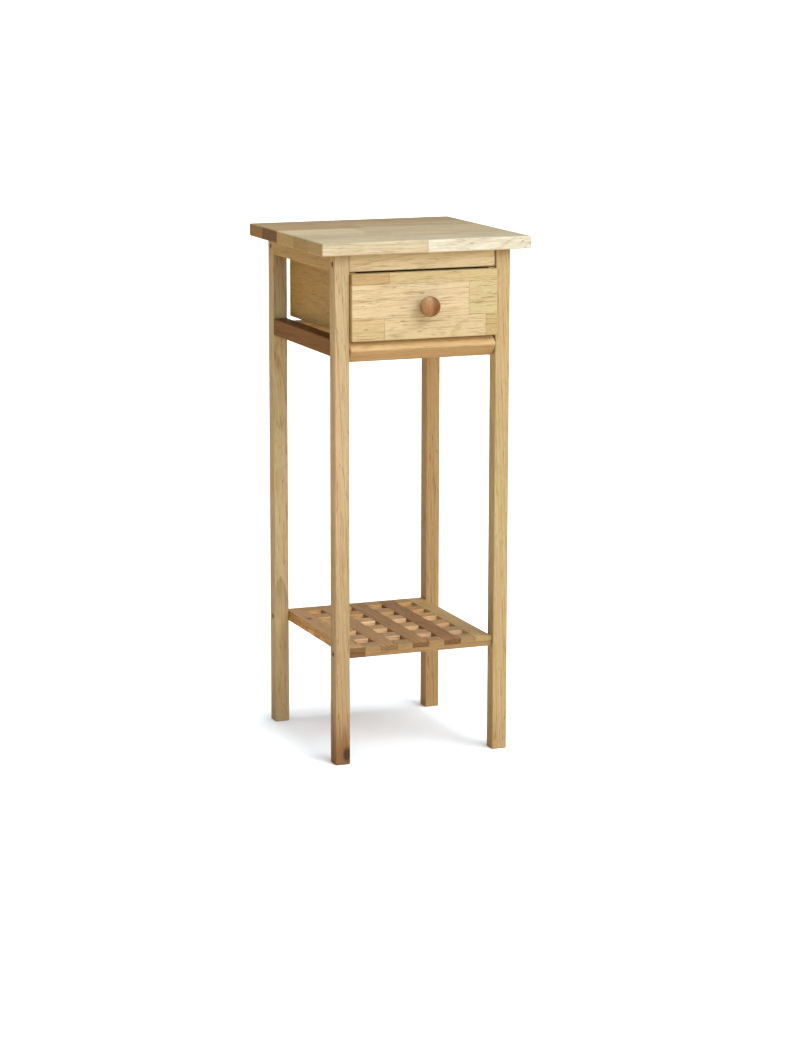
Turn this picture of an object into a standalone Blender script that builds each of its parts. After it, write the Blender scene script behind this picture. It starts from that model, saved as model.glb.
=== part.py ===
"""Small side table with one drawer and a lattice shelf, in metres, +Z up, drawer towards -Y."""

import math

import bmesh
import bpy

# Overall size of the table top, and how far the knob stands out past its front edge
HEIGHT = 0.600
TOP_W = 0.252
TOP_D = 0.248
TOP_T = 0.0145
KNOB_PAST_TOP = 0.016
GAP = 0.0003  # clearance left between pieces that touch
EASE = 0.0008  # width of the small chamfer on sanded edges

# Legs, and how far the top overhangs them
LEG = 0.0175
SIDE_OVERHANG = 0.0199
FRONT_OVERHANG = 0.0139
BACK_OVERHANG = 0.0086

# Rails
RAIL_H = 0.0198
UPPER_RAIL_T = 0.015
UPPER_RAIL_RECESS = 0.0025
LOWER_SIDE_Z = 0.4700
LOWER_BACK_Z = 0.4645
BAR_T = 0.0175
BAR_H = 0.0195
BAR_TURN = math.radians(42.0)  # the lower front bar is set turned about its long axis
BAR_NOSE_Z = 0.4772
BAR_NOSE_OUT = 0.0042

# Drawer
FRONT_PROUD = 0.006
FRONT_T = 0.012
FRONT_Z0 = 0.4881
FRONT_Z1 = 0.5636
DRAWER_HALF = 0.0881
PANEL_T = 0.008
SIDE_Z0 = 0.4930
SIDE_Z1 = 0.5647
DRAWER_REAR_Y = 0.098
BOTTOM_Z0 = 0.4960
BOTTOM_T = 0.004
GROOVE = 0.004
RUNNER_HALF = 0.012
NAIL_HEIGHTS = (0.5115, 0.5165, 0.5505)
NAIL_R = 0.0008
NAIL_HEAD_R = 0.0012
NAIL_L = 0.020

# Lattice shelf
SHELF_TOP = 0.1355
SHELF_T = 0.0118
SLAT_W = 0.0197
SLATS_DEEP = 5
SLATS_CROSS = 6
SHELF_RECESS = 0.0040

# Knob profile: distance from the drawer front, radius
KNOB_PROFILE = (
    (GAP, 0.0060), (0.0014, 0.0066), (0.0030, 0.0062), (0.0050, 0.0057), (0.0068, 0.0064),
    (0.0080, 0.0084), (0.0091, 0.0103), (0.0108, 0.0113), (0.0136, 0.0116), (0.0166, 0.0113),
    (0.0191, 0.0104), (0.0212, 0.0086), (0.0227, 0.0062), (0.0236, 0.0034),
)
KNOB_SCREW_HOLE = 0.0022

# Hardware
SCREW_R = 0.0015
SCREW_HEAD_R = 0.0029
SCREW_HEAD_H = 0.0022
SCREW_SINK = 0.0007
HEAD_HOLE_R = 0.0033
HEAD_HOLE_DEPTH = 0.0032
LEG_SCREW_L = 0.036
TOP_SCREW_Z1 = 0.5940
RUNNER_SCREW_Z0 = 0.4715
RUNNER_SCREW_BACK_OF_BAR = 0.0045
DOWEL_R = 0.0030
DOWEL_IN_LEG = 0.007
DOWEL_IN_RAIL = 0.013
SIDE_DOWEL_X = 0.1002
UPPER_SCREW_Z = 0.5745
SHELF_SCREW_Z = 0.1291

# Derived positions
KNOB_TIP = -(TOP_D + KNOB_PAST_TOP) / 2
TOP_FRONT = KNOB_TIP + KNOB_PAST_TOP
TOP_BACK = TOP_FRONT + TOP_D
TOP_Z0 = HEIGHT - TOP_T
LEG_OUT = TOP_W / 2 - SIDE_OVERHANG
LEG_IN = LEG_OUT - LEG
LEG_FRONT = TOP_FRONT + FRONT_OVERHANG
LEG_BACK = TOP_BACK - BACK_OVERHANG
LEG_Z1 = TOP_Z0 - GAP
FRONT_LEG_REAR = LEG_FRONT + LEG
BACK_LEG_FRONT = LEG_BACK - LEG
FRONT_LEG_MID = LEG_FRONT + LEG / 2
BACK_LEG_MID = LEG_BACK - LEG / 2
RAIL_X = (LEG_OUT + LEG_IN) / 2
SPAN = LEG_IN - GAP
UPPER_Z0 = LEG_Z1 - RAIL_H
FRONT_FACE = LEG_FRONT - FRONT_PROUD
FRONT_REAR = FRONT_FACE + FRONT_T
BOTTOM_Z1 = BOTTOM_Z0 + BOTTOM_T
KNOB_Z = (FRONT_Z0 + FRONT_Z1) / 2
SHELF_Z0 = SHELF_TOP - SHELF_T
SHELF_MID = SHELF_TOP - SHELF_T / 2
SHELF_FRONT = LEG_FRONT + SHELF_RECESS
SHELF_BACK = LEG_BACK - SHELF_RECESS
SIDE_RAIL_MID = LOWER_SIDE_Z + RAIL_H / 2
RAIL_LENGTH = BACK_LEG_FRONT - FRONT_LEG_REAR
TOP_SCREW_Y = (FRONT_LEG_REAR + RAIL_LENGTH * 0.25, BACK_LEG_FRONT - RAIL_LENGTH * 0.25)
SIDES = (("left", -1), ("right", 1))

# The turned lower front bar, seen from its end: corners as (y, z) from its nose, round by the
# bottom, rear and top
RISE = (math.cos(BAR_TURN) * BAR_T, math.sin(BAR_TURN) * BAR_T)
FALL = (math.sin(BAR_TURN) * BAR_H, -math.cos(BAR_TURN) * BAR_H)
NOSE = (LEG_FRONT - BAR_NOSE_OUT, BAR_NOSE_Z)
BAR_CORNERS = (
    NOSE,
    (NOSE[0] + FALL[0], NOSE[1] + FALL[1]),
    (NOSE[0] + RISE[0] + FALL[0], NOSE[1] + RISE[1] + FALL[1]),
    (NOSE[0] + RISE[0], NOSE[1] + RISE[1]),
)
BAR_CENTRE = (NOSE[0] + (RISE[0] + FALL[0]) / 2, NOSE[1] + (RISE[1] + FALL[1]) / 2)
RUNNER_SCREW_FRONT = BAR_CENTRE[0] + RUNNER_SCREW_BACK_OF_BAR


def clear_scene():
    for old in list(bpy.data.objects):
        bpy.data.objects.remove(old, do_unlink=True)


def make_material(name, colour, roughness, metallic=0.0):
    material = bpy.data.materials.new(name)
    material.use_nodes = True
    shader = material.node_tree.nodes["Principled BSDF"]
    shader.inputs["Base Color"].default_value = (*colour, 1.0)
    shader.inputs["Roughness"].default_value = roughness
    shader.inputs["Metallic"].default_value = metallic
    return material


def add_object(name, shape, material):
    bmesh.ops.recalc_face_normals(shape, faces=shape.faces[:])
    mesh = bpy.data.meshes.new(name)
    shape.to_mesh(mesh)
    shape.free()
    if material:
        mesh.materials.append(material)
    made = bpy.data.objects.new(name, mesh)
    bpy.context.scene.collection.objects.link(made)
    return made


def smooth(made):
    made.data.shade_smooth()
    made.data.set_sharp_from_angle(angle=math.radians(35))


def fill_box(shape, low, high):
    corners = []
    for z in (low[2], high[2]):
        for x, y in ((low[0], low[1]), (high[0], low[1]), (high[0], high[1]), (low[0], high[1])):
            corners.append(shape.verts.new((x, y, z)))
    shape.faces.new(corners[3::-1])
    shape.faces.new(corners[4:])
    for i in range(4):
        j = (i + 1) % 4
        shape.faces.new((corners[i], corners[j], corners[4 + j], corners[4 + i]))


def box(name, low, high, material, ease=EASE):
    shape = bmesh.new()
    fill_box(shape, low, high)
    if ease:
        bmesh.ops.bevel(shape, geom=shape.edges[:], offset=ease, segments=1, affect="EDGES")
    return add_object(name, shape, material)


def point_at(origin, axis, along, radius, angle):
    """A point at this distance along an axis (0, 1 or 2) and this radius and angle round it."""
    place = list(origin)
    place[axis] += along
    place[(axis + 1) % 3] += radius * math.cos(angle)
    place[(axis + 2) % 3] += radius * math.sin(angle)
    return place


def hexagon_radius(across, angle):
    """Radius of a hexagon with this distance across its flats, at an angle."""
    third = math.pi / 3
    return across / 2 / math.cos((angle % third) - third / 2)


def fill_turned(shape, origin, axis, profile, sides, hexagon_rings=()):
    """A solid turned round an axis. The profile runs from one end on the axis to the other."""
    rings = []
    for index, (along, radius) in enumerate(profile):
        if radius == 0:
            rings.append([shape.verts.new(point_at(origin, axis, along, 0, 0))])
            continue
        ring = []
        for i in range(sides):
            angle = 2 * math.pi * i / sides
            size = hexagon_radius(2 * radius, angle) if index in hexagon_rings else radius
            ring.append(shape.verts.new(point_at(origin, axis, along, size, angle)))
        rings.append(ring)
    for a, b in zip(rings, rings[1:]):
        for i in range(sides):
            j = (i + 1) % sides
            if len(a) == 1:
                shape.faces.new((a[0], b[i], b[j]))
            elif len(b) == 1:
                shape.faces.new((a[i], a[j], b[0]))
            else:
                shape.faces.new((a[i], a[j], b[j], b[i]))


def turned(name, origin, axis, profile, material, sides=24, hexagon_rings=()):
    shape = bmesh.new()
    fill_turned(shape, origin, axis, profile, sides, hexagon_rings)
    made = add_object(name, shape, material)
    smooth(made)
    return made


def extruded(name, points, axis, low, high, material, ease=0.0):
    """A flat outline drawn in the other two axes, stretched along this one."""
    shape = bmesh.new()
    ends = []
    for along in (low, high):
        ring = []
        for first, second in points:
            place = [0.0, 0.0, 0.0]
            place[axis] = along
            place[(axis + 1) % 3] = first
            place[(axis + 2) % 3] = second
            ring.append(shape.verts.new(place))
        ends.append(ring)
    shape.faces.new(ends[0][::-1])
    shape.faces.new(ends[1])
    count = len(points)
    for i in range(count):
        j = (i + 1) % count
        shape.faces.new((ends[0][i], ends[0][j], ends[1][j], ends[1][i]))
    if ease:
        bmesh.ops.bevel(shape, geom=shape.edges[:], offset=ease, segments=1, affect="EDGES")
    return add_object(name, shape, material)


def cut_one(target, cutter):
    cutter.hide_render = True
    cutter.display_type = "WIRE"
    modifier = target.modifiers.new("cut", "BOOLEAN")
    modifier.operation = "DIFFERENCE"
    modifier.solver = "EXACT"
    modifier.object = cutter


def cut(target, bores=(), boxes=(), sides=20):
    """Cuts stepped round bores and boxes out of a piece.

    A bore is its mouth, its axis and its steps, each a reach from the mouth and a radius.
    """
    for mouth, axis, steps in bores:
        profile = [(0.0, 0.0)]
        reached = 0.0
        for reach, radius in steps:
            profile += [(reached, radius), (reach, radius)]
            reached = reach
        profile.append((reached, 0.0))
        shape = bmesh.new()
        fill_turned(shape, mouth, axis, profile, sides)
        cut_one(target, add_object("cut_" + target.name, shape, None))
    for low, high in boxes:
        shape = bmesh.new()
        fill_box(shape, low, high)
        cut_one(target, add_object("cut_" + target.name, shape, None))


def screw(name, origin, axis, inward, length, material, head_r=SCREW_HEAD_R, head_h=SCREW_HEAD_H,
          shank_r=SCREW_R):
    """A cap screw with a hexagon socket. The origin is the top of its head, inward is +1 or -1."""
    profile = (
        (head_h * 0.6, 0.0), (head_h * 0.6, head_r * 0.45), (0.0, head_r * 0.45),
        (0.0, head_r * 0.86), (head_h * 0.14, head_r), (head_h, head_r), (head_h, shank_r),
        (length - shank_r, shank_r), (length, 0.0),
    )
    profile = tuple((along * inward, radius) for along, radius in profile)
    return turned(name, origin, axis, profile, material, sides=24, hexagon_rings=(1, 2))


def peg(name, origin, axis, low, high, radius, material):
    """A round wooden dowel with small chamfers."""
    small = radius * 0.2
    profile = (
        (low, 0.0), (low, radius - small), (low + small, radius), (high - small, radius),
        (high, radius - small), (high, 0.0),
    )
    return turned(name, origin, axis, profile, material, sides=20)


def notched(start, end, notches, plain, deep, other):
    """Outline of a slat: one edge straight at height other, one with notches from plain to deep."""
    edge = []
    for low, high in notches:
        first = max(low, start)
        last = min(high, end)
        if first > start:
            edge.append((first, plain))
        edge.append((first, deep))
        edge.append((last, deep))
        if last < end:
            edge.append((last, plain))
    if notches[0][0] > start:
        edge.insert(0, (start, plain))
    if notches[-1][1] < end:
        edge.append((end, plain))
    return edge + [(end, other), (start, other)]


def build_top():
    low = (-TOP_W / 2, TOP_FRONT, TOP_Z0)
    high = (TOP_W / 2, TOP_BACK, HEIGHT)
    top = box("table_top", low, high, light, ease=0.001)
    bores = []
    for _, side in SIDES:
        for y in TOP_SCREW_Y:
            start = (side * RAIL_X, y, TOP_Z0 - 0.002)
            bores.append((start, 2, ((TOP_SCREW_Z1 + GAP - start[2], SCREW_R + GAP),)))
    cut(top, bores)


def build_legs():
    for end, y0, middle, into_rail in (
        ("front", LEG_FRONT, FRONT_LEG_MID, 1), ("back", BACK_LEG_FRONT, BACK_LEG_MID, -1)
    ):
        rail_face = y0 + LEG if into_rail > 0 else y0
        if into_rail > 0:
            across = (BAR_CENTRE[0], BAR_CENTRE[1])
        else:
            across = (BACK_LEG_MID, LOWER_BACK_Z + RAIL_H / 2)
        for word, side in SIDES:
            xs = sorted((side * LEG_OUT, side * LEG_IN))
            leg = box(f"leg_{end}_{word}", (xs[0], y0, 0.0), (xs[1], y0 + LEG, LEG_Z1), light)
            outside = side * (LEG_OUT + 0.002)
            bores = []
            for z in (UPPER_SCREW_Z, SHELF_SCREW_Z):
                steps = ((-side * (0.002 + HEAD_HOLE_DEPTH), HEAD_HOLE_R),
                         (-side * (LEG + 0.004), SCREW_R + GAP))
                bores.append(((outside, middle, z), 0, steps))
            start = (side * (LEG_IN - 0.002), across[0], across[1])
            dowel_reach = 0.002 + DOWEL_IN_LEG + GAP
            bores.append((start, 0, ((side * dowel_reach, DOWEL_R + GAP),)))
            start = (side * SIDE_DOWEL_X, rail_face + into_rail * 0.002, SIDE_RAIL_MID)
            bores.append((start, 1, ((-into_rail * dowel_reach, DOWEL_R + GAP),)))
            cut(leg, bores)
            for z, place in ((UPPER_SCREW_Z, "upper"), (SHELF_SCREW_Z, "shelf")):
                top_of_head = (side * (LEG_OUT - SCREW_SINK), middle, z)
                name = f"screw_{place}_{end}_{word}"
                screw(name, top_of_head, 0, -side, LEG_SCREW_L, steel)


def build_upper_rails():
    y0 = LEG_FRONT + UPPER_RAIL_RECESS
    y1 = LEG_BACK - UPPER_RAIL_RECESS
    screw_reach = LEG_OUT - SCREW_SINK - LEG_SCREW_L - GAP
    for name, low, high, middle in (
        ("upper_rail_front", y0, y0 + UPPER_RAIL_T, FRONT_LEG_MID),
        ("upper_rail_back", y1 - UPPER_RAIL_T, y1, BACK_LEG_MID),
    ):
        rail = box(name, (-SPAN, low, UPPER_Z0), (SPAN, high, LEG_Z1), light)
        bores = []
        for _, side in SIDES:
            start = (side * (SPAN + 0.002), middle, UPPER_SCREW_Z)
            bores.append((start, 0, ((side * (screw_reach - SPAN - 0.002), SCREW_R + GAP),)))
        cut(rail, bores)
    for word, side in SIDES:
        xs = sorted((side * LEG_OUT, side * LEG_IN))
        low = (xs[0], FRONT_LEG_REAR + GAP, UPPER_Z0)
        high = (xs[1], BACK_LEG_FRONT - GAP, LEG_Z1)
        rail = box(f"upper_rail_{word}", low, high, light)
        bores = []
        for y, place in zip(TOP_SCREW_Y, ("front", "back")):
            start = (side * RAIL_X, y, UPPER_Z0 - 0.002)
            steps = ((0.002 + HEAD_HOLE_DEPTH, HEAD_HOLE_R), (RAIL_H + 0.004, SCREW_R + GAP))
            bores.append((start, 2, steps))
            head = (side * RAIL_X, y, UPPER_Z0 + SCREW_SINK)
            length = TOP_SCREW_Z1 - head[2]
            screw(f"screw_top_{place}_{word}", head, 2, 1, length, steel)
        cut(rail, bores)


def build_lower_rails():
    for word, side in SIDES:
        xs = sorted((side * LEG_OUT, side * LEG_IN))
        low = (xs[0], FRONT_LEG_REAR + GAP, LOWER_SIDE_Z)
        high = (xs[1], BACK_LEG_FRONT - GAP, LOWER_SIDE_Z + RAIL_H)
        rail = box(f"lower_rail_{word}", low, high, dark)
        bores = []
        for place, face, inward in (("front", FRONT_LEG_REAR, 1), ("back", BACK_LEG_FRONT, -1)):
            start = (side * SIDE_DOWEL_X, face - inward * 0.002, SIDE_RAIL_MID)
            reach = inward * (0.002 + DOWEL_IN_RAIL + GAP)
            bores.append((start, 1, ((reach, DOWEL_R + GAP),)))
            middle = (side * SIDE_DOWEL_X, face, SIDE_RAIL_MID)
            ends = sorted((-inward * DOWEL_IN_LEG, inward * DOWEL_IN_RAIL))
            peg(f"dowel_side_{place}_{word}", middle, 1, ends[0], ends[1], DOWEL_R, light)
        cut(rail, bores)
    back_mid = LOWER_BACK_Z + RAIL_H / 2
    low = (-SPAN, BACK_LEG_FRONT, LOWER_BACK_Z)
    back = box("lower_rail_back", low, (SPAN, LEG_BACK, LOWER_BACK_Z + RAIL_H), mid)
    bar = extruded("lower_bar_front", BAR_CORNERS, 0, -SPAN, SPAN, mid, ease=0.0012)
    screw_front = (0.0, RUNNER_SCREW_FRONT, RUNNER_SCREW_Z0)
    screw_back = (0.0, BACK_LEG_MID, RUNNER_SCREW_Z0)
    for piece, y, z, name, hole in (
        (bar, BAR_CENTRE[0], BAR_CENTRE[1], "front", screw_front),
        (back, BACK_LEG_MID, back_mid, "back", screw_back),
    ):
        bores = [((hole[0], hole[1], hole[2] - GAP), 2, ((0.040, SCREW_R + GAP),))]
        for word, side in SIDES:
            start = (side * (SPAN + 0.002), y, z)
            bores.append((start, 0, ((-side * (0.002 + DOWEL_IN_RAIL), DOWEL_R + GAP),)))
            ends = sorted((side * DOWEL_IN_LEG, -side * DOWEL_IN_RAIL))
            middle = (side * LEG_IN, y, z)
            peg(f"dowel_{name}_{word}", middle, 0, ends[0], ends[1], DOWEL_R, light)
        cut(piece, bores)


def build_runner():
    rest_z = LOWER_BACK_Z + RAIL_H + GAP
    bar_top = max(z for _, z in BAR_CORNERS)
    bar_rear = max(y for y, _ in BAR_CORNERS)
    top = BOTTOM_Z0 - GAP
    front = FRONT_REAR + 0.0009
    outline = (
        (front, bar_top + GAP), (bar_rear + 0.003, bar_top + GAP), (bar_rear + 0.003, rest_z),
        (LEG_BACK - 0.001, rest_z), (LEG_BACK - 0.001, top), (front, top),
    )
    runner = extruded("drawer_runner", outline, 0, -RUNNER_HALF, RUNNER_HALF, mid)
    bores = []
    for name, y in (("front", RUNNER_SCREW_FRONT), ("back", BACK_LEG_MID)):
        start = (0.0, y, top + 0.002)
        steps = ((-0.002 - HEAD_HOLE_DEPTH, HEAD_HOLE_R), (-0.030, SCREW_R + GAP))
        bores.append((start, 2, steps))
        head = (0.0, y, top - SCREW_SINK)
        screw(f"screw_runner_{name}", head, 2, -1, head[2] - RUNNER_SCREW_Z0, steel)
    cut(runner, bores)


def build_drawer():
    inner = DRAWER_HALF - PANEL_T
    low = (-DRAWER_HALF, FRONT_FACE, FRONT_Z0)
    front = box("drawer_front", low, (DRAWER_HALF, FRONT_REAR, FRONT_Z1), light)
    rebates = [
        ((-inner - GROOVE, FRONT_REAR - GROOVE, BOTTOM_Z0 - GAP),
         (inner + GROOVE, FRONT_REAR + 0.002, BOTTOM_Z1 + GAP)),
    ]
    for _, side in SIDES:
        xs = sorted((side * (inner - GAP), side * (DRAWER_HALF + 0.002)))
        rebates.append(((xs[0], FRONT_REAR - GROOVE, SIDE_Z0 - GAP),
                        (xs[1], FRONT_REAR + 0.002, SIDE_Z1 + GAP)))
    mouth = (0.0, FRONT_FACE - 0.002, KNOB_Z)
    knob_hole = (mouth, 1, ((FRONT_T + 0.004, KNOB_SCREW_HOLE),))
    cut(front, [knob_hole], rebates)

    nail_y = DRAWER_REAR_Y - PANEL_T / 2
    back_bores = []
    for word, side in SIDES:
        xs = sorted((side * inner, side * DRAWER_HALF))
        low = (xs[0], FRONT_REAR - GROOVE + GAP, SIDE_Z0)
        panel = box(f"drawer_side_{word}", low, (xs[1], DRAWER_REAR_Y, SIDE_Z1), light, 0.0005)
        bores = []
        for count, z in enumerate(NAIL_HEIGHTS, 1):
            outside = (side * (DRAWER_HALF + 0.002), nail_y, z)
            steps = ((-side * 0.0032, NAIL_HEAD_R + GAP), (-side * 0.012, NAIL_R + GAP))
            bores.append((outside, 0, steps))
            back_bores.append((outside, 0, ((-side * 0.0224, NAIL_R + GAP),)))
            head = (side * (DRAWER_HALF - 0.0001), nail_y, z)
            profile = (
                (0, 0), (0, NAIL_HEAD_R * 0.8), (0.0002, NAIL_HEAD_R), (0.0008, NAIL_HEAD_R),
                (0.0008, NAIL_R), (NAIL_L - 0.001, NAIL_R), (NAIL_L, 0),
            )
            profile = tuple((-side * along, radius) for along, radius in profile)
            turned(f"nail_{word}_{count}", head, 0, profile, steel, sides=12)
        xs = sorted((side * (inner - 0.002), side * (inner + GROOVE)))
        groove = ((xs[0], FRONT_FACE, BOTTOM_Z0 - GAP),
                  (xs[1], DRAWER_REAR_Y + 0.002, BOTTOM_Z1 + GAP))
        cut(panel, bores, [groove], sides=12)
    low = (-inner + GAP, DRAWER_REAR_Y - PANEL_T, BOTTOM_Z1 + GAP)
    back = box("drawer_back", low, (inner - GAP, DRAWER_REAR_Y, SIDE_Z1), light, 0.0005)
    cut(back, back_bores, sides=12)
    reach = inner + GROOVE - GAP
    low = (-reach, FRONT_REAR - GROOVE + GAP, BOTTOM_Z0)
    box("drawer_bottom", low, (reach, DRAWER_REAR_Y, BOTTOM_Z1), light, 0.0)


def build_knob():
    screw_tip = 0.0115
    profile = [(screw_tip, 0.0), (screw_tip, KNOB_SCREW_HOLE), (GAP, KNOB_SCREW_HOLE)]
    profile += list(KNOB_PROFILE)
    profile.append((FRONT_FACE - KNOB_TIP, 0.0))
    origin = (0.0, FRONT_FACE, KNOB_Z)
    profile = tuple((-along, radius) for along, radius in profile)
    turned("knob", origin, 1, profile, dark, sides=36)
    head = (0.0, FRONT_REAR + GAP + SCREW_HEAD_H, KNOB_Z)
    length = head[1] - (FRONT_FACE - screw_tip + 2 * GAP)
    screw("screw_knob", head, 1, -1, length, steel, head_r=0.0035, shank_r=0.0019)


def build_shelf():
    deep_pitch = (2 * SPAN - SLAT_W) / (SLATS_DEEP - 1)
    cross_pitch = (SHELF_BACK - SHELF_FRONT - SLAT_W) / (SLATS_CROSS - 1)
    deep_at = [-SPAN + i * deep_pitch for i in range(SLATS_DEEP)]
    cross_at = [SHELF_FRONT + i * cross_pitch for i in range(SLATS_CROSS)]
    over_cross = [(y - GAP, y + SLAT_W + GAP) for y in cross_at]
    under_deep = [(x - GAP, x + SLAT_W + GAP) for x in deep_at]
    bores = []
    for _, side in SIDES:
        for y in (FRONT_LEG_MID, BACK_LEG_MID):
            start = (side * (SPAN + 0.002), y, SHELF_SCREW_Z)
            end = side * (LEG_OUT - SCREW_SINK - LEG_SCREW_L - GAP)
            bores.append((start, 0, ((end - start[0], SCREW_R + GAP),)))
    woods = (dark, mid, mid, dark, mid)
    for i, x in enumerate(deep_at):
        outline = notched(SHELF_FRONT, SHELF_BACK, over_cross, SHELF_Z0, SHELF_MID + GAP / 2,
                          SHELF_TOP)
        name = f"shelf_slat_deep_{i + 1}"
        slat = extruded(name, outline, 0, x, x + SLAT_W, woods[i])
        if i in (0, SLATS_DEEP - 1):
            side = -1 if i == 0 else 1
            cut(slat, [bore for bore in bores if bore[0][0] * side > 0])
    for i, y in enumerate(cross_at):
        outline = notched(-SPAN, SPAN, under_deep, SHELF_TOP, SHELF_MID - GAP / 2, SHELF_Z0)
        outline = [(z, x) for x, z in outline]
        slat = extruded(f"shelf_slat_cross_{i + 1}", outline, 1, y, y + SLAT_W, light)
        if i in (0, SLATS_CROSS - 1):
            cut(slat, [bore for bore in bores if y < bore[0][1] < y + SLAT_W])


clear_scene()
light = make_material("light_oak", (0.62, 0.43, 0.21), 0.45)
mid = make_material("mid_oak", (0.42, 0.26, 0.12), 0.45)
dark = make_material("walnut", (0.20, 0.10, 0.05), 0.42)
steel = make_material("zinc_steel", (0.55, 0.55, 0.53), 0.35, 1.0)

build_top()
build_legs()
build_upper_rails()
build_lower_rails()
build_runner()
build_drawer()
build_knob()
build_shelf()
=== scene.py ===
"""Looks of a small oak side table with one drawer and a lattice shelf, in metres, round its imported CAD."""

import math
import random
from collections import namedtuple

import bmesh
import bpy
from mathutils import Matrix, Quaternion, Vector


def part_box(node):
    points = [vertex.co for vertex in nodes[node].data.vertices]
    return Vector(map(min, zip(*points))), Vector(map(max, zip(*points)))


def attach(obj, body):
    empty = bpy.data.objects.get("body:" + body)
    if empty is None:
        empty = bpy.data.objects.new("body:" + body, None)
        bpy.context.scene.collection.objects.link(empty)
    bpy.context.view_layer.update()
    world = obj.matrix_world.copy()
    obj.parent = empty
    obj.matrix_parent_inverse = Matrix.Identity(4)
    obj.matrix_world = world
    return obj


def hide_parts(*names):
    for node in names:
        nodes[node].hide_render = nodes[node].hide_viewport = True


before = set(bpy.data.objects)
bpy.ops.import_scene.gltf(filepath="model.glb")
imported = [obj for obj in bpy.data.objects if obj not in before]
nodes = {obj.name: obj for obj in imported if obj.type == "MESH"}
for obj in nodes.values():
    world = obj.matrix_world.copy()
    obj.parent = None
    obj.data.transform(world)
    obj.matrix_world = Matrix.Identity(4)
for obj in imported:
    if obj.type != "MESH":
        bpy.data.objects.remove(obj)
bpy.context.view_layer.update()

MM = 0.001

# Camera: the point it looks at, where it looks from, and its focal length on a 36 mm sensor
AIM = Vector((0.01361, 0.00261, 0.25762))
VIEW_AZIMUTH = math.radians(21.61)
VIEW_ELEVATION = math.radians(11.21)
VIEW_ROLL = math.radians(0.105)
VIEW_DISTANCE = 3.5507
LENS_MM = 104.53

# Two lamps: how much light falls on a surface that faces each, where it comes from and how wide it looks
KEY_LIGHT = 0.43
KEY_FROM = Vector((0.27, -0.70, 0.62))
KEY_SPREAD = math.radians(38)
TOP_LIGHT = 0.68
TOP_FROM = Vector((0.03, -0.02, 1.0))
TOP_SPREAD = math.radians(10)

# The room round them: a broad glow in front, a narrower and weaker one behind, and a little light all round
GLOW = 2.75
GLOW_FROM = Vector((0.16, -0.92, 0.34)).normalized()
BACK_LIGHT = 0.38
BACK_FROM = Vector((0.36, 0.91, 0.19)).normalized()
BACK_FOCUS = 4.0  # the higher, the narrower the glow behind
AMBIENT = (0.33, 0.32, 0.30)
FRONT_LIGHT = 2.05  # what falls on the front in all, which the colours of the wood are divided by

FLOOR_SEEN = (0.88, 0.945, 1.0, 1.0)  # the floor's colour for the camera
FLOOR_BOUNCE = (0.78, 0.61, 0.41, 1.0)  # its colour for the light that it throws back at the wood
FLOOR_RADIUS = 60.0
FLOOR_DROP = 0.05 * MM  # how far it lies under the feet
WHITE = (1.0, 1.0, 1.0, 1.0)

# Woodworking detail
GLUE_LINE = 0.14 * MM  # gap left between glued staves
EDGE_SOFT = 0.35 * MM  # rounding of a machined edge
SLAT_EDGE_SOFT = 0.5 * MM
STAVE_EDGE_SOFT = 0.2 * MM
EDGE_ANGLE = math.radians(28)  # a sharper fold than this is an edge
FLAT_ANGLE = math.radians(0.5)  # a gentler fold than this is part of one flat face
SAME_POINT = 0.002 * MM
REACH = 2 * MM  # how far a cutting block goes past the panel's own faces


def linear(red, green, blue):
    """Scene colour from display values of 0 to 255."""
    shares = [value / 255 for value in (red, green, blue)]
    return [v / 12.92 if v <= 0.04045 else ((v + 0.055) / 1.055) ** 2.4 for v in shares]


# ---------------------------------------------------------------- materials

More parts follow.
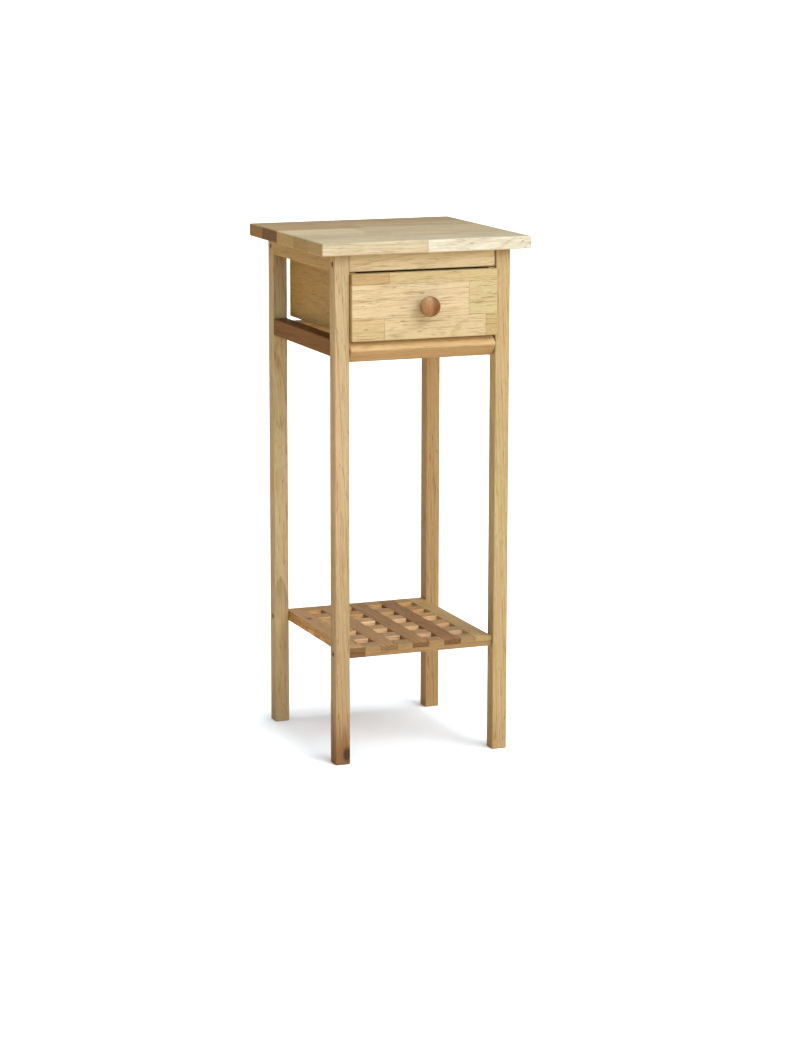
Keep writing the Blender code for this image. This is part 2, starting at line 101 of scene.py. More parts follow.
class Nodes:
    """A node tree, built a node at a time. Each method returns the new node's output."""

    def __init__(self, tree):
        self.tree = tree

    def put(self, socket, value):
        if isinstance(value, bpy.types.NodeSocket):
            self.tree.links.new(value, socket)
        else:
            socket.default_value = value

    def add(self, kind, inputs=(), output=0, **settings):
        node = self.tree.nodes.new(kind)
        for name, value in settings.items():
            setattr(node, name, value)
        for name, value in dict(inputs).items():
            self.put(node.inputs[name], value)
        return node.outputs[output]

    def math(self, operation, first, second=0.0, clamp=False):
        inputs = {0: first, 1: second}
        return self.add("ShaderNodeMath", inputs, operation=operation, use_clamp=clamp)

    def plus(self, *terms):
        total = terms[0]
        for term in terms[1:]:
            total = self.math("ADD", total, term)
        return total

    def times(self, first, second):
        return self.math("MULTIPLY", first, second)

    def swing(self, noise, size):
        """Noise of 0 to 1 made into a swing to both sides of nothing."""
        return self.times(self.plus(noise, -0.5), size)

    def vector(self, operation, first, second=(0.0, 0.0, 0.0), output=0):
        inputs = {0: first, 1: second}
        return self.add("ShaderNodeVectorMath", inputs, output, operation=operation)

    def combine(self, x, y, z):
        return self.add("ShaderNodeCombineXYZ", {0: x, 1: y, 2: z})

    def separate(self, vector):
        first = self.add("ShaderNodeSeparateXYZ", {0: vector})
        return list(first.node.outputs)

    def noise(self, vector, detail=2.0, roughness=0.5, output="Fac"):
        inputs = {"Vector": vector, "Scale": 1.0, "Detail": detail, "Roughness": roughness}
        return self.add("ShaderNodeTexNoise", inputs, output)

    def step(self, value, low, high, to_low=0.0, to_high=1.0):
        """A smooth step as value goes from low to high."""
        inputs = {"Value": value, "From Min": low, "From Max": high, "To Min": to_low, "To Max": to_high}
        return self.add("ShaderNodeMapRange", inputs, interpolation_type="SMOOTHSTEP")

    def mix(self, share, first, second, blend="MIX"):
        made = self.add("ShaderNodeMix", data_type="RGBA", blend_type=blend, output=2)
        self.put(made.node.inputs["Factor"], share)
        self.put(made.node.inputs[6], first)
        self.put(made.node.inputs[7], second)
        return made

    def tinted(self, colour, red, green, blue):
        return self.mix(1.0, colour, (red, green, blue, 1.0), "MULTIPLY")

    def piece_value(self, name, output="Fac"):
        """A value that each object carries as a property of its own."""
        return self.add("ShaderNodeAttribute", output=output, attribute_type="OBJECT", attribute_name=name)


class Shader(Nodes):
    """The nodes of one new material, with its Principled surface."""

    def __init__(self, name):
        self.material = bpy.data.materials.new(name)
        self.material.use_nodes = True
        super().__init__(self.material.node_tree)
        self.surface = self.tree.nodes["Principled BSDF"]

    def bump(self, height, strength, depth):
        inputs = {"Strength": strength, "Distance": depth, "Height": height}
        self.put(self.surface.inputs["Normal"], self.add("ShaderNodeBump", inputs))


# The order of X, Y and Z that puts the axis along the grain last
GRAIN_ORDER = {"X": (1, 2, 0), "Y": (2, 0, 1), "Z": (0, 1, 2)}

# Noise drawn out along the grain: how fast it changes per metre across the grain and along it, how far a
# piece's seed moves it, and the noise's detail and roughness
Pattern = namedtuple("Pattern", "across along shift detail roughness", defaults=(2.0, 0.5))
WANDER = Pattern(12.0, 2.4, 3.7)  # bends the grain slowly
FIBRE = Pattern(1300.0, 30.0, 1.0, 3.0, 0.6)
STREAK = Pattern(300.0, 6.0, 1.0, 3.0, 0.6)
CONTOUR = Pattern(300.0, 9.0, 1.9, 1.5, 0.45)  # its middle values make the long thin lines
BREAK = Pattern(420.0, 34.0, 1.0, 1.0, 0.5)  # interrupts those lines
DASH = Pattern(900.0, 55.0, 2.9, 1.0, 0.5)
PATCH = Pattern(26.0, 8.0, 1.0)
HUE = Pattern(75.0, 3.5, 2.3, 3.0, 0.6)
PORE = Pattern(1250.0, 85.0, 1.0)

GRAIN_BEND = 0.016  # how wide a band the grain wanders in
GRAIN_SLOPE = (0.035, -0.025)  # how far it drifts to each side per metre along the board
KNOT_STRETCH = 0.6  # a knot is longer along the grain
KNOT_PUSH = 4.5 * MM  # how far it pushes the rings aside
RING_UNEVEN = 2.2  # how many rings an uneven stretch can add
RING_CROWDING = 90.0  # how fast their spacing changes per metre outwards
RING_FADING = (260.0, 3.0)  # how fast their darkness changes per metre outwards and along the board
FIBRE_SWING = 0.55
BASE_TONE = 0.80

# Where a mark begins and ends. Each ring counts from 0 to 1, the way from a knot is counted in sizes of the
# knot, and the rest are values of the pattern
LATE_RISE = (0.66, 0.92)
LATE_STOP = (0.95, 1.0)
EARLY_FADE = (0.3, 0.55)
RING_SHOWN = (0.3, 0.7)
KNOT_PULL = (0.6, 3.2)
KNOT_EDGE = (0.45, 1.15)
LINE_WIDTH = (0.006, 0.030)
LINE_WHOLE = (0.36, 0.56)
LINE_CLEAR = (0.25, 0.6)
DASH_SHOWN = (0.56, 0.70)
PORE_EDGE = (0.12, 0.34)
HUE_CHANGE = (0.32, 0.68)
WORN_STREAK = (0.35, 0.6)

# How squarely a face looks along the grain, or up where painted light or shade goes, and how far an edge
# turns away from all three axes
END_FACE = (0.5, 0.9)
TOP_FACE = (0.35, 0.65)
WORN_EDGE = (0.80, 0.985)

# The browning towards the floor: over the whole lower part, and once more just over the floor
LOWER_PART = (0.0, 0.40)
LOWER_SHARE = 0.40
OVER_FLOOR = (0.010, 0.075)
OVER_FLOOR_SHARE = 0.60

# How far the streaks shift these two borders
BROWNING_RAGGED = 50 * MM
DARKER_SIDE_RAGGED = 6 * MM

# Tints, against the piece's own colour
DARK_GRAIN = (0.62, 0.52, 0.40)
LIGHT_GRAIN = (1.13, 1.13, 1.12)
PORE_TINT = (0.42, 0.30, 0.20)
KNOT_RIM = (0.70, 0.52, 0.36)
KNOT_CORE = (0.16, 0.10, 0.07)
FOOT_TINT = (0.44, 0.29, 0.18)
DARKER_SIDE_TINT = (0.48, 0.30, 0.13)
WORN_TINT = (1.22, 1.20, 1.15)
HUE_WARM = (1.07, 0.97, 0.92)
HUE_COOL = (0.96, 0.98, 0.92)

# How much of a tint shows
KNOT_RIM_SHARE = 0.35
KNOT_CORE_SHARE = 0.55
KNOT_CORE_STREAK = 0.7  # added to the share of the core by the streaks
WORN_SHARE = 0.35

# The skin of the wood: its roughness, what each mark adds to that, and how far each mark raises it
ROUGHNESS = 0.47
ROUGHER = {"fibre": 0.10, "pore": 0.15, "end": 0.14, "worn": -0.06}
RAISED = {"fibre": 0.45, "pore": -0.9, "late": 0.25}
RELIEF = (0.55, 0.22 * MM)  # strength and depth of the bumps


class Wood(Shader):
    """The nodes of oiled wood with its grain along one axis."""

    def __init__(self, name, grain, wave):
        super().__init__(name)
        self.order = GRAIN_ORDER[grain]
        self.place = self.add("ShaderNodeTexCoord", output="Object")
        self.faces = self.place.node.outputs["Normal"]
        self.seed = self.piece_value("seed")
        a, b, self.along = self.away_from("pith")
        self.straight = (a, b)
        wander = self.separate(self.noise_of(WANDER, self.straight, "Color"))
        self.bent = [
            self.plus(start, self.swing(bend, GRAIN_BEND * wave), self.times(self.along, slope))
            for start, bend, slope in zip(self.straight, wander, GRAIN_SLOPE)
        ]
        self.fibre = self.noise_of(FIBRE, self.bent)
        self.streak = self.noise_of(STREAK, self.bent)
        self.patch = self.noise_of(PATCH, self.straight)

    def away_from(self, name):
        """How far a place is from one of the piece's own points: twice across the grain, then along it."""
        apart = self.separate(self.vector("SUBTRACT", self.place, self.piece_value(name, "Vector")))
        return [apart[i] for i in self.order]

    def drawn_out(self, pattern, across):
        """A place in a pattern, from the two distances across the grain."""
        moved = self.plus(self.times(self.along, pattern.along), self.times(self.seed, pattern.shift))
        u, v = [self.times(value, pattern.across) for value in across]
        return self.combine(u, v, moved)

    def noise_of(self, pattern, across, output="Fac"):
        return self.noise(self.drawn_out(pattern, across), pattern.detail, pattern.roughness, output)

    def knot(self):
        """How strongly the piece's knot pulls at a place, and how far the place is in its dark core."""
        across, across_too, along = self.away_from("knot")
        at = self.combine(across, across_too, self.times(along, KNOT_STRETCH))
        far = self.math("DIVIDE", self.vector("LENGTH", at, output="Value"), self.piece_value("knot_size"))
        return self.step(far, *KNOT_PULL, 1.0, 0.0), self.step(far, *KNOT_EDGE, 1.0, 0.0)

    def rings(self, gap, pushed):
        """Growth rings round the pith: late wood, how dark it shows, and porous early wood."""
        radius = self.vector("LENGTH", self.combine(*self.bent, 0.0), output="Value")
        radius = self.plus(radius, self.times(pushed, KNOT_PUSH))
        uneven = self.noise(self.combine(self.times(radius, RING_CROWDING), self.seed, 0.0), detail=1.0)
        count = self.plus(self.math("DIVIDE", radius, gap), self.times(uneven, RING_UNEVEN))
        phase = self.math("FRACT", count)
        late = self.times(self.step(phase, *LATE_RISE), self.step(phase, *LATE_STOP, 1.0, 0.0))
        early = self.step(phase, *EARLY_FADE, 1.0, 0.15)
        outwards, along = RING_FADING
        where = self.combine(self.times(radius, outwards), self.times(self.along, along), self.seed)
        strength = self.step(self.noise(where, detail=1.0), *RING_SHOWN, 0.2, 1.0)
        return late, self.times(late, strength), early

    def lines(self):
        """Long thin dark lines, broken here and there and fainter in the dark patches."""
        contour = self.math("ABSOLUTE", self.plus(self.noise_of(CONTOUR, self.bent), -0.5))
        whole = self.step(self.noise_of(BREAK, self.bent), *LINE_WHOLE)
        line = self.times(self.step(contour, *LINE_WIDTH, 1.0, 0.0), whole)
        return self.times(line, self.step(self.patch, *LINE_CLEAR, 0.55, 1.0))

    def dashes(self):
        return self.step(self.noise_of(DASH, self.bent), *DASH_SHOWN)

    def pores(self, early):
        where = {"Vector": self.drawn_out(PORE, self.bent), "Scale": 1.0}
        from_middle = self.add("ShaderNodeTexVoronoi", where, "Distance")
        return self.times(self.step(from_middle, *PORE_EDGE, 1.0, 0.0), early)

    def own_colour(self, hues, darker_side):
        """The piece's colour, with slow changes of hue, a browner foot and a side that turns darker along X.
        """
        own = self.add("ShaderNodeObjectInfo", output="Color")
        warm = self.step(self.noise_of(HUE, self.straight), *HUE_CHANGE)
        varied = self.mix(warm, self.tinted(own, *HUE_COOL), self.tinted(own, *HUE_WARM))
        tint = self.mix(hues, own, varied)
        x, _, z = self.separate(self.place)
        height = self.plus(z, self.swing(self.streak, BROWNING_RAGGED))
        brown = self.plus(
            self.step(height, *LOWER_PART, LOWER_SHARE, 0.0),
            self.step(height, *OVER_FLOOR, OVER_FLOOR_SHARE, 0.0),
        )
        brown = self.times(brown, self.piece_value("foot"))
        tint = self.mix(brown, tint, self.tinted(tint, *FOOT_TINT))
        if darker_side:
            x = self.plus(x, self.swing(self.streak, DARKER_SIDE_RAGGED))
            tint = self.mix(self.step(x, *darker_side), tint, self.tinted(tint, *DARKER_SIDE_TINT))
        return tint

    def toned(self, share, colour, name):
        """Multiplies a colour by one of the piece's tones: that of its end grain, or the painted light or
        shade on its upper face.
        """
        return self.mix(share, colour, self.mix(1.0, colour, self.piece_value(name, "Vector"), "MULTIPLY"))


def wood(name, grain, streaks=0.20, rings=0.34, pores=0.55, lines=0.74, dashes=0.34, ring_gap=3.2 * MM,
         patches=0.18, wave=1.0, hues=0.45, sheen=0.30, darker_side=None):
    """Oiled wood with growth rings, fibres, pores, end grain and worn edges.

    streaks, rings, pores, lines, dashes, patches and hues say how strongly each of them shows, wave how
    much the grain wanders, and sheen how much the surface shines. The last argument is where along X a
    piece turns darker, from and to.
    """
    s = Wood(name, grain, wave)
    knot_pull, knot_core = s.knot()
    late, shown_late, early = s.rings(ring_gap, knot_pull)
    pore = s.pores(early)
    tone = s.plus(
        BASE_TONE,
        s.swing(s.streak, streaks * 2.0),
        s.swing(s.fibre, FIBRE_SWING),
        s.swing(s.patch, patches * 2.0),
        s.times(shown_late, -rings),
        s.times(s.lines(), -lines),
        s.times(s.dashes(), -dashes),
    )
    tone = s.math("ADD", tone, 0.0, clamp=True)

    tint = s.own_colour(hues, darker_side)
    colour = s.mix(tone, s.tinted(tint, *DARK_GRAIN), s.tinted(tint, *LIGHT_GRAIN))
    colour = s.mix(s.times(pore, pores), colour, s.tinted(tint, *PORE_TINT))
    colour = s.mix(s.times(knot_pull, KNOT_RIM_SHARE), colour, s.tinted(tint, *KNOT_RIM))
    core_share = s.plus(KNOT_CORE_SHARE, s.times(s.streak, KNOT_CORE_STREAK))
    knot_dark = s.math("MULTIPLY", knot_core, core_share, clamp=True)
    colour = s.mix(knot_dark, colour, s.tinted(tint, *KNOT_CORE))

    # End grain, painted light or shade on upper faces, and edges where the oil has worn off
    square_on = s.separate(s.vector("ABSOLUTE", s.faces))
    end = s.step(square_on[s.order[2]], *END_FACE)
    colour = s.toned(end, colour, "end_tone")
    # Painted light or shade: upper faces take the piece's top tone, lighter or darker than its sides as the
    # light would make them
    colour = s.toned(s.step(s.separate(s.faces)[2], *TOP_FACE), colour, "top_painted_light")
    flat = s.math("MAXIMUM", s.math("MAXIMUM", square_on[0], square_on[1]), square_on[2])
    worn = s.times(s.step(flat, *WORN_EDGE, 1.0, 0.0), s.step(s.streak, *WORN_STREAK))
    colour = s.mix(s.times(worn, WORN_SHARE), colour, s.tinted(tint, *WORN_TINT))
    s.put(s.surface.inputs["Base Color"], colour)

    marks = {"fibre": s.fibre, "pore": pore, "end": end, "worn": worn, "late": late}
    rough = s.plus(ROUGHNESS, *[s.times(marks[name], share) for name, share in ROUGHER.items()])
    s.put(s.surface.inputs["Roughness"], rough)
    s.bump(s.plus(*[s.times(marks[name], share) for name, share in RAISED.items()]), *RELIEF)
    s.surface.inputs["Specular IOR Level"].default_value = sheen
    return s.material


# Painted shade: the steel is kept dark, partly its own colour and partly standing in for the shade of the
# recesses the screw heads sit in
STEEL_DARK = (0.09, 0.08, 0.07, 1.0)
STEEL_LIGHT = (0.22, 0.20, 0.18, 1.0)


def steel():
    """Zinc plated steel with a dull, slightly blotched skin and a fine roughness, darkened in part as
    painted shade for the recesses the heads sit in.
    """
    s = Shader("zinc_plated_steel")
    place = s.add("ShaderNodeTexCoord", output="Object")
    blotch = s.noise(s.vector("MULTIPLY", place, (900.0, 900.0, 900.0)), 3.0)
    fine = s.noise(s.vector("MULTIPLY", place, (6000.0, 6000.0, 6000.0)), 2.0)
    s.put(s.surface.inputs["Base Color"], s.mix(blotch, STEEL_DARK, STEEL_LIGHT))
    s.surface.inputs["Metallic"].default_value = 1.0
    s.put(s.surface.inputs["Roughness"], s.plus(0.34, s.times(blotch, 0.18), s.times(fine, 0.08)))
    s.bump(fine, 0.4, 0.05 * MM)
    return s.material


OAK = {axis: wood("oak_grain_" + axis.lower(), axis) for axis in "XY"}
OAK["Z"] = wood("oak_grain_z", "Z", streaks=0.44, rings=0.52, lines=0.62, dashes=0.22, ring_gap=4.2 * MM,
                wave=0.5, hues=0.9)
TOP_OAK = wood("oak_of_the_top", "X", streaks=0.62, rings=0.44, pores=0.35, lines=0.66, dashes=0.24,
               patches=0.30, hues=1.0)
WALNUT = {
    axis: wood("walnut_grain_" + axis.lower(), axis, streaks=0.75, rings=0.5, pores=0.45, patches=0.5,
               sheen=0.15)
    for axis in "XYZ"
}
TURNED = wood("turned_walnut", "Y", streaks=0.5, rings=0.5, pores=0.35, patches=0.35, sheen=0.45,
              darker_side=(-3.5 * MM, 3.5 * MM))
STEEL = steel()
SLOTS = {"light_oak": OAK, "mid_oak": OAK, "walnut": WALNUT}


# ---------------------------------------------------------------- pieces

NO_KNOT = (9.0, 9.0, 9.0)  # a place that no piece comes near
KNOT_SIZE = 4 * MM
END_TONE = (0.96, 0.85, 0.60)
NO_TONE = (1.0, 1.0, 1.0)
PITH_AWAY = (0.035, 0.075)  # a board is sawn this far from the middle of its log
SEED_STEP = 1.37  # moves the patterns apart from one piece to the next


def dress(piece, slot, grain, colour, seed, knot=NO_KNOT, knot_size=KNOT_SIZE, foot=0.0, end_tone=END_TONE,
          top_painted_light=NO_TONE):
    """Gives a wooden piece its material, its own colour, and its own place in the log.

    foot is how much browner it gets towards the floor. Its two tones, against its own colour, are
    that of its end grain and the painted light or shade on its upper face.
    """
    chance = random.Random(seed)
    piece.data.materials.clear()
    piece.data.materials.append(SLOTS[slot][grain])
    piece.color = (*[value / FRONT_LIGHT for value in linear(*colour)], 1.0)
    low, high = [Vector(piece.bound_box[i]) for i in (0, 6)]
    turn = chance.uniform(0, 2 * math.pi)
    away = chance.uniform(*PITH_AWAY)
    order = GRAIN_ORDER[grain]
    pith = (low + high) / 2
    pith[order[0]] += math.cos(turn) * away
    pith[order[1]] += math.sin(turn) * away
    piece["seed"] = seed * SEED_STEP
    piece["pith"] = list(pith)
    piece["knot"] = list(knot)
    piece["knot_size"] = knot_size
    piece["foot"] = foot
    piece["end_tone"] = list(end_tone)
    piece["top_painted_light"] = list(top_painted_light)


def weld(piece):
    made = piece.modifiers.new("weld", "WELD")
    made.merge_threshold = SAME_POINT


def refine(piece, rounding=EDGE_SOFT):
    """Joins a faceted mesh up again, then rounds its machined edges."""
    weld(piece)
    flat = piece.modifiers.new("flat", "DECIMATE")
    flat.decimate_type = "DISSOLVE"
    flat.angle_limit = FLAT_ANGLE
    bevel = piece.modifiers.new("soft_edges", "BEVEL")
    bevel.limit_method = "ANGLE"
    bevel.angle_limit = EDGE_ANGLE
    bevel.width = rounding
    bevel.segments = 2
    normals = piece.modifiers.new("normals", "WEIGHTED_NORMAL")
    normals.keep_sharp = True
    piece.data.shade_smooth()


def link(name, data):
    """A new object in the scene."""
    made = bpy.data.objects.new(name, data)
    bpy.context.scene.collection.objects.link(made)
    return made


def mesh_of(shape, name):
    """A mesh made from a bmesh, which is freed."""
    mesh = bpy.data.meshes.new(name)
    shape.to_mesh(mesh)
    shape.free()
    return mesh


def block(low, high):
    """A plain block, used to cut one stave out of a panel."""
    shape = bmesh.new()
    size = Matrix.Diagonal((*(high - low), 1.0))
    bmesh.ops.create_cube(shape, size=1.0, matrix=Matrix.Translation((low + high) / 2) @ size)
    return link("block", mesh_of(shape, "block"))


def stave(name, node, body, low, high):
    """The part of a CAD panel between two corners, as a glued stave of its own."""
    made = link(name, nodes[node].data.copy())
    weld(made)
    cutter = block(low, high)
    keep = made.modifiers.new("keep", "BOOLEAN")
    keep.operation = "INTERSECT"
    keep.solver = "EXACT"
    keep.object = cutter
    solid = made.evaluated_get(bpy.context.evaluated_depsgraph_get())
    mesh = bpy.data.meshes.new_from_object(solid)
    mesh.name = name
    made.modifiers.clear()
    made.data = mesh
    bpy.data.objects.remove(cutter)
    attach(made, body)
    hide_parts(node)
    refine(made, STAVE_EDGE_SOFT)
    return made


def between(node, spans):
    """The corners of a block that takes a node in whole, but between two glue lines on the axes in spans."""
    low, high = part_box(node)
    low -= Vector((REACH,) * 3)
    high += Vector((REACH,) * 3)
    for axis, (start, end) in spans.items():
        low[axis] = start + GLUE_LINE / 2
        high[axis] = end - GLUE_LINE / 2
    return low, high


SEEDS_PER_ROW = 20


def staves(node, body, prefix, across, rows, material=None):
    """Splits a panel with its grain along X into rows, and each row into staves end to end.

    across is the axis the rows are stacked on. A row is where it ends, and its staves, each with where
    it ends along X, its slot, its colour and, if it has them, its own tones.
    """
    low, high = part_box(node)
    row_start = low[across] - REACH
    count = 0
    for row_number, (row_end, parts) in enumerate(rows, start=1):
        row_end = high[across] + REACH if row_end is None else row_end
        start = low.x - REACH
        for end, slot, colour, *tones in parts:
            count += 1
            end = high.x + REACH if end is None else end
            corners = between(node, {0: (start, end), across: (row_start, row_end)})
            piece = stave(f"{prefix}_{count}", node, body, *corners)
            seed = SEEDS_PER_ROW * row_number + count
            dress(piece, slot, "X", colour, seed, **(tones[0] if tones else {}))
            if material:
                piece.data.materials[0] = material
            start = end
        row_start = row_end


def top():
    # Painted shade: the upper faces of the two front staves are painted darker than their front edges, which
    # the front light reaches
    front_left = {"end_tone": (0.80, 0.66, 0.46), "top_painted_light": (0.81, 0.78, 0.68)}
    front_right = {"top_painted_light": (0.70, 0.60, 0.47)}
    dark_ended = {"end_tone": (0.47, 0.35, 0.24)}
    staves("table_top", "frame", "top_stave", 1, (
        (-0.0677, ((0.0, "light_oak", (221, 216, 192), front_left),
                   (None, "light_oak", (237, 244, 235), front_right))),
        (-0.0221, ((0.058, "light_oak", (198, 185, 152)), (None, "light_oak", (196, 183, 147)))),
        (0.0353, ((-0.035, "light_oak", (209, 200, 167)), (None, "light_oak", (191, 179, 144)))),
        (0.0860, ((-0.020, "mid_oak", (179, 151, 105), dark_ended), (None, "light_oak", (182, 163, 125)))),
        (0.1248, ((None, "light_oak", (169, 147, 105)),)),
        (None, ((None, "mid_oak", (172, 138, 96)),)),
    ), TOP_OAK)


def drawer_front():
    staves("drawer_front", "drawer", "front_stave", 2, (
        (0.5131, ((-0.0490, "light_oak", (221, 204, 160)), (0.0740, "light_oak", (227, 214, 175)),
                  (None, "light_oak", (212, 194, 144)))),
        (0.5511, ((0.0530, "light_oak", (236, 221, 185)), (None, "light_oak", (222, 211, 166)))),
        (None, ((-0.0430, "mid_oak", (207, 182, 132)), (None, "light_oak", (221, 206, 158)))),
    ))


SHELF_CORNER_END = -0.0686  # where the dark left end of the front shelf slat stops


def shelf_front():
    """The front shelf slat, whose left end is of darker wood."""
    node = "shelf_slat_cross_1"
    low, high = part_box(node)
    for number, start, end, slot, colour, seed in (
        (1, low.x - REACH, SHELF_CORNER_END, "walnut", (133, 101, 70), 61),
        (2, SHELF_CORNER_END, high.x + REACH, "light_oak", (173, 143, 99), 36),
    ):
        piece = stave(f"shelf_front_{number}", node, "frame", *between(node, {0: (start, end)}))
        # Painted light: the slat's upper face, in the shade of the table top, is painted lighter than its
        # front
        dress(piece, slot, "X", colour, seed, top_painted_light=(1.22, 1.18, 1.12))


KNOB_SIDES = 96
KNOB_CREASE = math.radians(50)
# Distance from the drawer front, and radius, in millimetres: the bore for its screw, then round the outline
KNOB_OUTLINE = (
    (11.5, 0.0), (11.5, 2.2), (0.3, 2.2), (0.3, 5.6), (0.8, 6.1), (1.8, 6.2), (3.2, 5.6), (4.8, 5.2),
    (6.2, 5.5), (7.3, 6.9), (8.3, 9.4), (9.6, 10.8), (11.4, 11.4), (13.6, 11.6), (15.8, 11.45),
    (17.9, 10.9), (19.8, 9.9), (21.5, 8.3), (22.8, 6.1), (23.6, 3.3), (23.9, 0.0),
)


def turned(outline, centre, face, sides):
    """A shape turned about a line along Y. Its outline starts and ends on that line."""
    shape = bmesh.new()
    rings = []
    for along, radius in outline:
        ring = []
        for i in range(sides if radius else 1):
            angle = 2 * math.pi * i / sides
            x = centre.x + radius * MM * math.cos(angle)
            z = centre.z + radius * MM * math.sin(angle)
            ring.append(shape.verts.new((x, face - along * MM, z)))
        rings.append(ring)
    for first, second in zip(rings, rings[1:]):
        for i in range(sides):
            j = (i + 1) % sides
            if len(first) == 1:
                shape.faces.new((first[0], second[i], second[j]))
            elif len(second) == 1:
                shape.faces.new((first[i], first[j], second[0]))
            else:
                shape.faces.new((first[i], first[j], second[j], second[i]))
    bmesh.ops.recalc_face_normals(shape, faces=shape.faces[:])
    return shape


def knob():
    """The knob, turned from its outline."""
    low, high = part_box("knob")
    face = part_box("drawer_front")[0].y
    shape = turned(KNOB_OUTLINE, (low + high) / 2, face, KNOB_SIDES)
    made = link("turned_knob", mesh_of(shape, "turned_knob"))
    made.data.shade_smooth()
    made.data.set_sharp_from_angle(angle=KNOB_CREASE)
    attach(made, "drawer")
    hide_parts("knob")
    dress(made, "walnut", "Y", (186, 147, 107), seed=3)
    made.data.materials[0] = TURNED


# Wooden CAD nodes that stay: slot, grain, colour, seed. The colours are divided by the light that falls on
# the front, and a board that stands in shade is painted paler to make up for it: the shelf boards under the
# top may go over 255, and the front upper rail is painted paler against the shadow of the top's overhang
BOARDS = {
    "leg_front_left": ("light_oak", "Z", (211, 193, 155), 11),
    "leg_front_right": ("light_oak", "Z", (209, 190, 145), 12),
    "leg_back_left": ("light_oak", "Z", (213, 197, 155), 13),
    "leg_back_right": ("light_oak", "Z", (192, 165, 116), 14),
    "upper_rail_front": ("light_oak", "X", (244, 229, 188), 15),
    "upper_rail_back": ("light_oak", "X", (214, 184, 116), 16),
    "upper_rail_left": ("light_oak", "Y", (207, 178, 111), 17),
    "upper_rail_right": ("light_oak", "Y", (214, 184, 116), 18),
    "lower_rail_left": ("walnut", "Y", (136, 88, 8), 19),
    "lower_rail_right": ("walnut", "Y", (136, 88, 8), 21),
    "lower_rail_back": ("mid_oak", "X", (217, 189, 140), 22),
    "lower_bar_front": ("mid_oak", "X", (208, 180, 134), 23),
    "drawer_side_left": ("light_oak", "Y", (198, 164, 92), 24),
    "drawer_side_right": ("light_oak", "Y", (204, 169, 97), 25),
    "drawer_back": ("light_oak", "X", (222, 196, 142), 26),
    "drawer_bottom": ("light_oak", "Y", (226, 202, 152), 27),
    "drawer_runner": ("mid_oak", "Y", (208, 176, 128), 28),
    "shelf_slat_deep_1": ("walnut", "Y", (219, 176, 122), 31),
    "shelf_slat_deep_2": ("mid_oak", "Y", (203, 156, 100), 32),
    "shelf_slat_deep_3": ("walnut", "Y", (192, 149, 98), 33),
    "shelf_slat_deep_4": ("walnut", "Y", (177, 132, 85), 34),
    "shelf_slat_deep_5": ("mid_oak", "Y", (225, 190, 128), 35),
    "shelf_slat_cross_2": ("light_oak", "X", (241, 204, 166), 37),
    "shelf_slat_cross_3": ("light_oak", "X", (253, 212, 162), 38),
    "shelf_slat_cross_4": ("light_oak", "X", (265, 226, 176), 39),
    "shelf_slat_cross_5": ("light_oak", "X", (239, 194, 134), 40),
    "shelf_slat_cross_6": ("light_oak", "X", (238, 194, 133), 41),
}
CROSS_SLATS_PAINTED_LIGHT = {"top_painted_light": (0.73, 0.67, 0.53)}  # painted light: the boards' colours are raised so the sides seen through the openings look lit from the front, and their tops are painted darker again
DETAILS = {
    "leg_front_left": {"knot": (-0.0925, -0.1022, 0.0120), "knot_size": 5.8 * MM, "foot": 1.0},
    "leg_back_left": {"foot": 0.30},
    "leg_front_right": {"foot": 0.30},
    # Painted light: the bar's upper facet is painted lighter than its lower facet, which faces down into
    # shade
    "lower_bar_front": {"top_painted_light": (1.60, 1.58, 1.56)},
    "shelf_slat_deep_1": {
        "knot": (-0.0790, 0.0600, 0.1355),
        "knot_size": 3 * MM,
        "end_tone": (0.38, 0.35, 0.35),
    },
    "shelf_slat_deep_2": {"end_tone": (0.54, 0.59, 0.62)},
    "shelf_slat_deep_3": {"end_tone": (0.49, 0.46, 0.60)},
    "shelf_slat_deep_4": {"end_tone": (0.53, 0.55, 0.63)},
    "shelf_slat_deep_5": {"end_tone": (0.70, 0.78, 0.83)},
    **{f"shelf_slat_cross_{number}": CROSS_SLATS_PAINTED_LIGHT for number in range(2, 7)},
}
MADE_ANEW = {"table_top", "drawer_front", "knob", "shelf_slat_cross_1"}
DOWEL_COLOUR = (216, 184, 130)
DOWEL_SEED = 50


def carried_over():
    """Gives every CAD node that stays in view its material, and the wooden boards their softened edges."""
    for index, (name, node) in enumerate(sorted(nodes.items())):
        if name in MADE_ANEW:
            continue
        if name in BOARDS:
            slot, grain, colour, seed = BOARDS[name]
            dress(node, slot, grain, colour, seed, **DETAILS.get(name, {}))
            refine(node, SLAT_EDGE_SOFT if "slat" in name else EDGE_SOFT)
        elif name.startswith("dowel"):
            dress(node, "light_oak", "Y" if "side" in name else "X", DOWEL_COLOUR, DOWEL_SEED + index)
        else:
            node.data.materials.clear()
            node.data.materials.append(STEEL)


# ---------------------------------------------------------------- studio

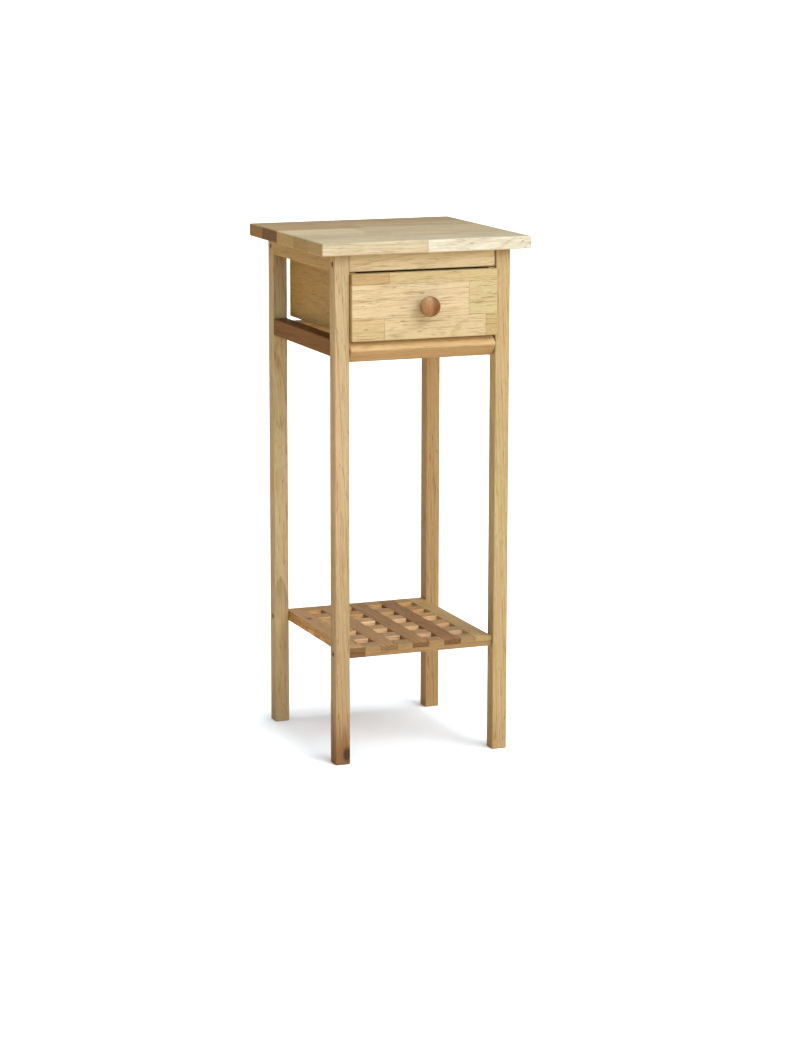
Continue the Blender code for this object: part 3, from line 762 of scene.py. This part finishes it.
def floor():
    shape = bmesh.new()
    bmesh.ops.create_circle(shape, cap_ends=True, radius=FLOOR_RADIUS, segments=96)
    made = link("floor", mesh_of(shape, "floor"))
    made.location.z = -FLOOR_DROP
    s = Shader("pale_floor")
    seen = s.add("ShaderNodeLightPath", output="Is Camera Ray")
    s.put(s.surface.inputs["Base Color"], s.mix(seen, FLOOR_BOUNCE, FLOOR_SEEN))
    s.surface.inputs["Roughness"].default_value = 1.0
    s.surface.inputs["Specular IOR Level"].default_value = 0.0
    made.data.materials.append(s.material)


def lamp(name, comes_from, light, spread):
    data = bpy.data.lights.new(name, "SUN")
    data.energy = light * math.pi
    data.angle = spread
    made = link(name, data)
    made.rotation_mode = "QUATERNION"
    made.rotation_quaternion = comes_from.to_track_quat("Z", "Y")


def surroundings():
    """The light of the room, and a plain white backdrop for the camera."""
    world = bpy.data.worlds.new("studio")
    world.use_nodes = True
    n = Nodes(world.node_tree)
    towards = n.add("ShaderNodeTexCoord", output="Generated")
    facing = n.vector("DOT_PRODUCT", towards, GLOW_FROM, output="Value")
    facing = n.math("MAXIMUM", facing, 0.0)
    glow = n.times(n.times(facing, facing), GLOW)
    behind = n.math("MAXIMUM", n.vector("DOT_PRODUCT", towards, BACK_FROM, output="Value"), 0.0)
    glow = n.plus(glow, n.times(n.math("POWER", behind, BACK_FOCUS), BACK_LIGHT))
    light = n.vector("ADD", n.combine(glow, glow, glow), AMBIENT)
    seen = n.add("ShaderNodeLightPath", output="Is Camera Ray")
    background = world.node_tree.nodes["Background"]
    n.put(background.inputs["Color"], n.mix(seen, light, WHITE))
    bpy.context.scene.world = world
    bpy.context.scene.view_settings.view_transform = "Standard"


def camera():
    away = Vector((
        -math.sin(VIEW_AZIMUTH) * math.cos(VIEW_ELEVATION),
        -math.cos(VIEW_AZIMUTH) * math.cos(VIEW_ELEVATION),
        math.sin(VIEW_ELEVATION),
    ))
    lens = bpy.data.cameras.new("camera")
    lens.lens = LENS_MM
    made = link("camera", lens)
    made.rotation_mode = "QUATERNION"
    made.rotation_quaternion = away.to_track_quat("Z", "Y") @ Quaternion((0, 0, 1), VIEW_ROLL)
    made.location = AIM + away * VIEW_DISTANCE
    bpy.context.scene.camera = made


top()
drawer_front()
knob()
shelf_front()
carried_over()
floor()
lamp("key", KEY_FROM, KEY_LIGHT, KEY_SPREAD)
lamp("overhead", TOP_FROM, TOP_LIGHT, TOP_SPREAD)
surroundings()
camera()
